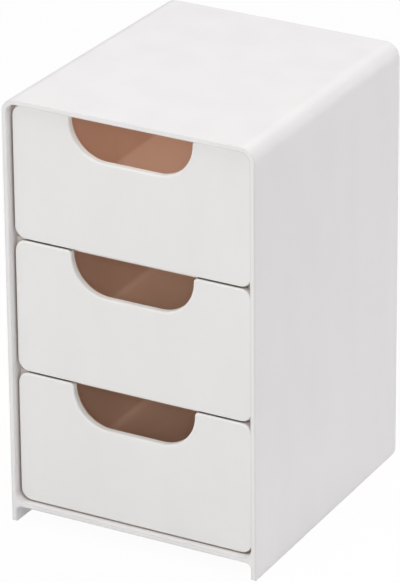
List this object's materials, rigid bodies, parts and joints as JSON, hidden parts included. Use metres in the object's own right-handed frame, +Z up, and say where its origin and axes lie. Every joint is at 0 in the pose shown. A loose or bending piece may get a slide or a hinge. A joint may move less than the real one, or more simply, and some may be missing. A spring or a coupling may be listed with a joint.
{
  "type": "desktop mini drawers",
  "caption": "Tall desktop drawer organizer: a rounded moulded sleeve on side skirts, with pull-out trays behind flush fronts that have finger cut-outs.",
  "frame": {"origin": "middle of the footprint, on the surface that the skirts stand on", "axes": "+Z up, the drawers open towards -Y, +X to the right seen from the front"},
  "size_m": [0.11, 0.125, 0.1826],
  "materials": {
    "shell_plastic": "satin moulded white",
    "front_plastic": "satin moulded white",
    "inner_plastic": "matt moulded white",
    "tray_plastic": "satin moulded tan"
  },
  "bodies": {
    "cabinet": {"outer_shell": "shell_plastic", "back_panel": "inner_plastic", "lower_shelf": "inner_plastic", "upper_shelf": "inner_plastic"},
    "bottom_drawer": {"bottom_drawer_front": "front_plastic", "bottom_drawer_tray": "tray_plastic"},
    "middle_drawer": {"middle_drawer_front": "front_plastic", "middle_drawer_tray": "tray_plastic"},
    "top_drawer": {"top_drawer_front": "front_plastic", "top_drawer_tray": "tray_plastic"}
  },
  "joints": [
    {"name": "bottom_drawer_slide", "type": "slide", "parent": "cabinet", "child": "bottom_drawer", "axis": [0, -1, 0], "range_m": [0, 0.095]},
    {"name": "middle_drawer_slide", "type": "slide", "parent": "cabinet", "child": "middle_drawer", "axis": [0, -1, 0], "range_m": [0, 0.095]},
    {"name": "top_drawer_slide", "type": "slide", "parent": "cabinet", "child": "top_drawer", "axis": [0, -1, 0], "range_m": [0, 0.095]}
  ]
}
